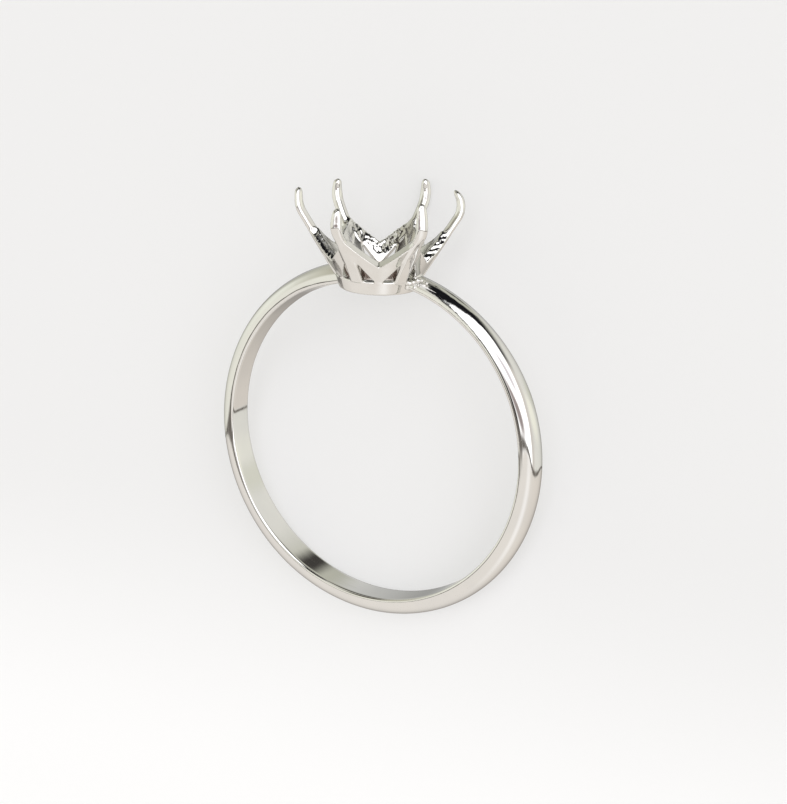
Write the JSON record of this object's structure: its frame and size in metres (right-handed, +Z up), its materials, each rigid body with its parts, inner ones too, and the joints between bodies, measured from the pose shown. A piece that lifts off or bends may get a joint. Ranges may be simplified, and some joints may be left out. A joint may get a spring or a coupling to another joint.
{
  "type": "semi mount ring setting",
  "caption": "Solitaire ring setting without its stone: a slim half-round finger band carries a flared head with V-shaped gallery rails and hooked claws.",
  "frame": {"origin": "middle of the underside of the whole ring's box, on the surface that the ring lies on", "axes": "+Y from the band's base to the head, +Z up from the surface, +X across the band; the head's axis rises 9.5 degrees from +Y"},
  "size_m": [0.0192, 0.0232, 0.0089],
  "materials": {
    "metal": "polished rhodium plated silver"
  },
  "bodies": {
    "root": {"ring_setting": "metal"}
  },
  "joints": []
}
